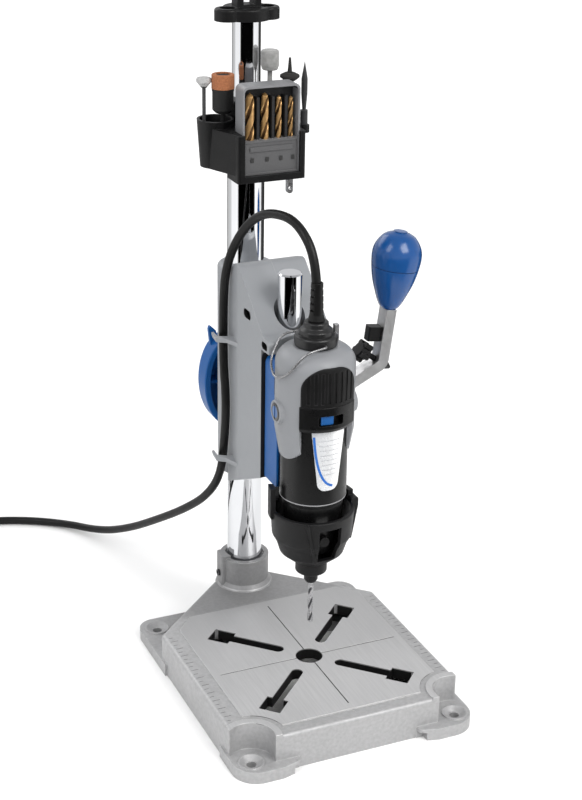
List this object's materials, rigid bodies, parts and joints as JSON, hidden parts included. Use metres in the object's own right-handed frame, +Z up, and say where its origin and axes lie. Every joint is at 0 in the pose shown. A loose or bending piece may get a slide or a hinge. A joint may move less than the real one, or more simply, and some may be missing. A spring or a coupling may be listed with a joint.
{
  "type": "rotary tool drill press stand",
  "caption": "Bench drill stand: cast base, chrome column, lever-fed head holding a corded rotary tool, and a telescoping mast with an accessory holder.",
  "frame": {"origin": "on the bench, at the middle of the four bench bolts", "axes": "+Z up, +X to the operator's right, the operator stands at -Y and the column at +Y"},
  "size_m": [0.3668, 0.4242, 0.489],
  "materials": {
    "cast_grey": "sand-cast, light grey, top machined",
    "screw_black": "blackened steel",
    "chrome_tube": "polished chrome plate",
    "black_plastic": "fine-grained black",
    "steel": "bright steel",
    "case_grey": "dark grey",
    "gold_drills": "titanium-nitride gold",
    "tool_shanks": "turned steel",
    "mandrel": "black rubber drum on a steel shank",
    "abrasive": "copper-brown abrasive cloth",
    "felt": "pressed grey felt on a steel shank",
    "light_grey": "light grey moulding",
    "bronze": "sintered bronze",
    "blue": "blue",
    "lever_metal": "cast and tumbled",
    "tool_grey": "grey moulding",
    "label": null,
    "cord_black": "black sheath",
    "plug_metal": "plated blades"
  },
  "bodies": {
    "base": {"base_casting": "cast_grey", "column_set_screw": "screw_black"},
    "column": {"lower_column": "chrome_tube", "telescope_collar": "black_plastic", "telescope_screw": "black_plastic", "cord_lead": "cord_black", "cord_coil": "cord_black", "coil_tie": "black_plastic", "plug_body": "black_plastic", "plug_blades": "plug_metal"},
    "mast": {"upper_mast": "chrome_tube", "hanger_plate": "black_plastic", "hanger_pin": "steel"},
    "hook": {"hanger_hook": "black_plastic"},
    "holder": {"accessory_holder": "black_plastic", "holder_screw": "black_plastic", "polishing_point": "tool_shanks", "sanding_mandrel": "mandrel", "sanding_band": "abrasive", "felt_bob": "felt", "cutoff_wheel": "tool_shanks", "engraving_cutter": "tool_shanks", "collet_wrench": "steel"},
    "index": {"drill_index_case": "case_grey", "index_drills": "gold_drills"},
    "head": {"housing_left": "light_grey", "housing_right": "light_grey", "housing_screws": "screw_black", "quill_bush": "bronze", "shaft_bushes": "bronze", "return_spring": "steel", "cord_loop": "cord_black"},
    "clamp": {"clamp_knob": "blue", "clamp_screw": "screw_black"},
    "lever": {"pinion_shaft": "steel", "lever_hub": "lever_metal", "lever_arm": "lever_metal", "lever_stop_block": "black_plastic"},
    "lever_grip": {"lever_knob": "blue"},
    "lever_lock": {"star_knob": "black_plastic"},
    "carriage": {"carriage": "blue", "quill_rod": "chrome_tube", "tool_holder": "black_plastic", "motor_housing": "black_plastic", "rear_shell": "tool_grey", "brush_caps": "blue", "vent_cover": "black_plastic", "switch_collar": "black_plastic", "label_plate": "label", "rear_cap": "black_plastic", "strain_relief": "cord_black"},
    "spindle": {"spindle": "steel", "collet_nut": "steel", "collet": "steel", "drill_bit": "steel", "armature": "steel"},
    "speed": {"speed_slider": "blue"},
    "shaft_lock": {"shaft_lock_button": "black_plastic"},
    "bail": {"hanging_bail": "steel"}
  },
  "joints": [
    {"name": "column_swivel", "type": "hinge", "parent": "base", "child": "column", "pos_m": [0, 0.1035, 0.03], "axis": [0, 0, 1], "range_deg": [-90, 90]},
    {"name": "mast_telescope", "type": "slide", "parent": "column", "child": "mast", "axis": [0, 0, 1], "range_m": [0, 0.2]},
    {"name": "hook_swing", "type": "hinge", "parent": "mast", "child": "hook", "pos_m": [0, 0.1035, 0.461], "axis": [1, 0, 0], "range_deg": [-80, 80]},
    {"name": "holder_swivel", "type": "hinge", "parent": "column", "child": "holder", "pos_m": [0, 0.1035, 0.36], "axis": [0, 0, 1], "range_deg": [-55, 55]},
    {"name": "index_lift", "type": "slide", "parent": "holder", "child": "index", "axis": [0, 0, 1], "range_m": [0, 0.058]},
    {"name": "head_height", "type": "slide", "parent": "column", "child": "head", "axis": [0, 0, 1], "range_m": [-0.012, 0.015], "deforming": ["cord_lead"]},
    {"name": "clamp_turn", "type": "hinge", "parent": "head", "child": "clamp", "pos_m": [0, 0.1335, 0.1765], "axis": [0, 1, 0], "range_deg": [0, 270]},
    {"name": "lever_swing", "type": "hinge", "parent": "head", "child": "lever", "pos_m": [0, 0.05185, 0.166], "axis": [1, 0, 0], "range_deg": [0, 122.2], "stiffness_Nm_per_rad": 0.25, "springref_deg": -68.75},
    {"name": "grip_spin", "type": "hinge", "parent": "lever", "child": "lever_grip", "pos_m": [0.0849, 0.05185, 0.2432], "axis": [0.1314, 0, 0.9913], "continuous": true},
    {"name": "lock_turn", "type": "hinge", "parent": "lever", "child": "lever_lock", "pos_m": [0.0805, 0.05185, 0.21], "axis": [0.8152, 0, -0.5792], "range_deg": [-180, 180]},
    {"name": "carriage_plunge", "type": "slide", "parent": "head", "child": "carriage", "axis": [0, 0, -1], "range_m": [0, 0.04]},
    {"name": "spindle_spin", "type": "hinge", "parent": "carriage", "child": "spindle", "pos_m": [0, -0.015, 0.15], "axis": [0, 0, 1], "continuous": true},
    {"name": "speed_slide", "type": "hinge", "parent": "carriage", "child": "speed", "pos_m": [0, -0.015, 0.213], "axis": [0, 0, 1], "range_deg": [-3, 15]},
    {"name": "shaft_lock_press", "type": "slide", "parent": "carriage", "child": "shaft_lock", "axis": [0, 1, 0], "range_m": [0, 0.002], "stiffness_N_per_m": 400, "springref_m": -0.001},
    {"name": "bail_swing", "type": "hinge", "parent": "carriage", "child": "bail", "pos_m": [0, -0.015, 0.2623], "axis": [0, 1, 0], "range_deg": [0, 100]}
  ],
  "couplings": [
    {"joint": "carriage_plunge", "follows": "lever_swing", "m_per_rad": 0.01875}
  ]
}
